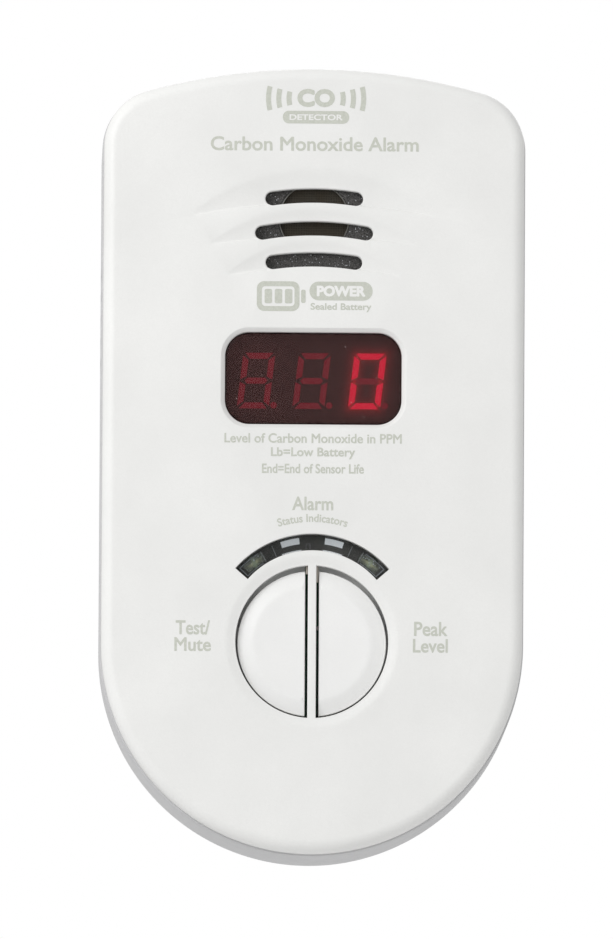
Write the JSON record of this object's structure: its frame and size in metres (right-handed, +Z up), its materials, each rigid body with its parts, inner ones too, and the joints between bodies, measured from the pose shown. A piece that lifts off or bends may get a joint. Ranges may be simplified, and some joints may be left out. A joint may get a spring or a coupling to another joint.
{
  "type": "carbon monoxide detector",
  "caption": "Wall-hung digital carbon monoxide detector with a grille, display, status lens and half-disc buttons; it lifts off a hooked wall bracket.",
  "frame": {"origin": "centre of the wall bracket's flat back face, half-way up the case", "axes": "+Z up, along the case's height; +Y back into the wall; the front faces -Y; +X is the viewer's right"},
  "size_m": [0.0766, 0.036, 0.1426],
  "materials": {
    "white_abs": "fine-textured injection-moulded ABS, off-white",
    "bracket_abs": "plain injection-moulded ABS, off-white",
    "red_filter": "polished dark red acrylic filter",
    "smoke_lens": "polished smoke-tinted polycarbonate",
    "black_plastic": "plain black moulded plastic",
    "black_foam": "dark open-cell foam",
    "brass": "rolled sheet",
    "piezo_ceramic": "silvered ceramic",
    "contact_metal": "nickel-plated strip",
    "led_epoxy": "clear moulded epoxy",
    "board": "green solder mask on glass epoxy",
    "steel": "plain bright steel",
    "aluminium": "drawn can",
    "battery_sleeve": "shrink sleeve",
    "red_wire": "insulated wire",
    "black_wire": "insulated wire",
    "label": "blank satin foil label"
  },
  "bodies": {
    "bracket": {"wall_bracket": "bracket_abs"},
    "test_key": {"test_button": "white_abs"},
    "peak_key": {"peak_button": "white_abs"},
    "test_plunger_body": {"test_switch_plunger": "black_plastic"},
    "peak_plunger_body": {"peak_switch_plunger": "black_plastic"},
    "power_control": {"power_slider": "black_plastic", "switch_knob": "black_plastic"},
    "alarm": {"front_cover": "white_abs", "rear_housing": "white_abs", "display_window": "red_filter", "status_lens": "smoke_lens", "led_baffle": "black_plastic", "status_led_left": "led_epoxy", "status_led_right": "led_epoxy", "test_switch": "steel", "peak_switch": "steel", "sounder_gasket": "black_foam", "sounder_housing": "black_plastic", "sounder_ring": "black_plastic", "piezo_disc": "brass", "piezo_ceramic": "piezo_ceramic", "horn_contact_1": "contact_metal", "horn_contact_2": "contact_metal", "horn_contact_3": "contact_metal", "main_board": "board", "display_module": "black_plastic", "microcontroller": "black_plastic", "capacitor_1": "aluminium", "capacitor_2": "aluminium", "horn_coil": "black_plastic", "co_sensor": "steel", "co_sensor_cap": "white_abs", "battery_header": "white_abs", "slide_switch": "steel", "battery_cell": "battery_sleeve", "battery_holder": "black_plastic", "battery_tab_positive": "contact_metal", "battery_tab_negative": "contact_metal", "battery_wire_red": "red_wire", "battery_wire_black": "black_wire", "rating_label": "label", "case_screw_1": "steel", "board_screw_1": "steel", "case_screw_2": "steel", "board_screw_2": "steel", "case_screw_3": "steel", "board_screw_3": "steel", "case_screw_4": "steel", "board_screw_4": "steel"}
  },
  "joints": [
    {"name": "alarm_lift", "type": "slide", "parent": "bracket", "child": "alarm", "axis": [0, 0, 1], "range_m": [0, 0.006]},
    {"name": "test_press", "type": "slide", "parent": "alarm", "child": "test_key", "axis": [0, 1, 0], "range_m": [0, 0.0006], "stiffness_N_per_m": 400},
    {"name": "peak_press", "type": "slide", "parent": "alarm", "child": "peak_key", "axis": [0, 1, 0], "range_m": [0, 0.0006], "stiffness_N_per_m": 400},
    {"name": "test_plunger_press", "type": "slide", "parent": "alarm", "child": "test_plunger_body", "axis": [0, 1, 0], "range_m": [0, 0.0006]},
    {"name": "peak_plunger_press", "type": "slide", "parent": "alarm", "child": "peak_plunger_body", "axis": [0, 1, 0], "range_m": [0, 0.0006]},
    {"name": "power_slide", "type": "slide", "parent": "alarm", "child": "power_control", "axis": [0, 0, 1], "range_m": [-0.004, 0]}
  ],
  "couplings": [
    {"joint": "test_plunger_press", "follows": "test_press", "ratio": 1},
    {"joint": "peak_plunger_press", "follows": "peak_press", "ratio": 1}
  ]
}
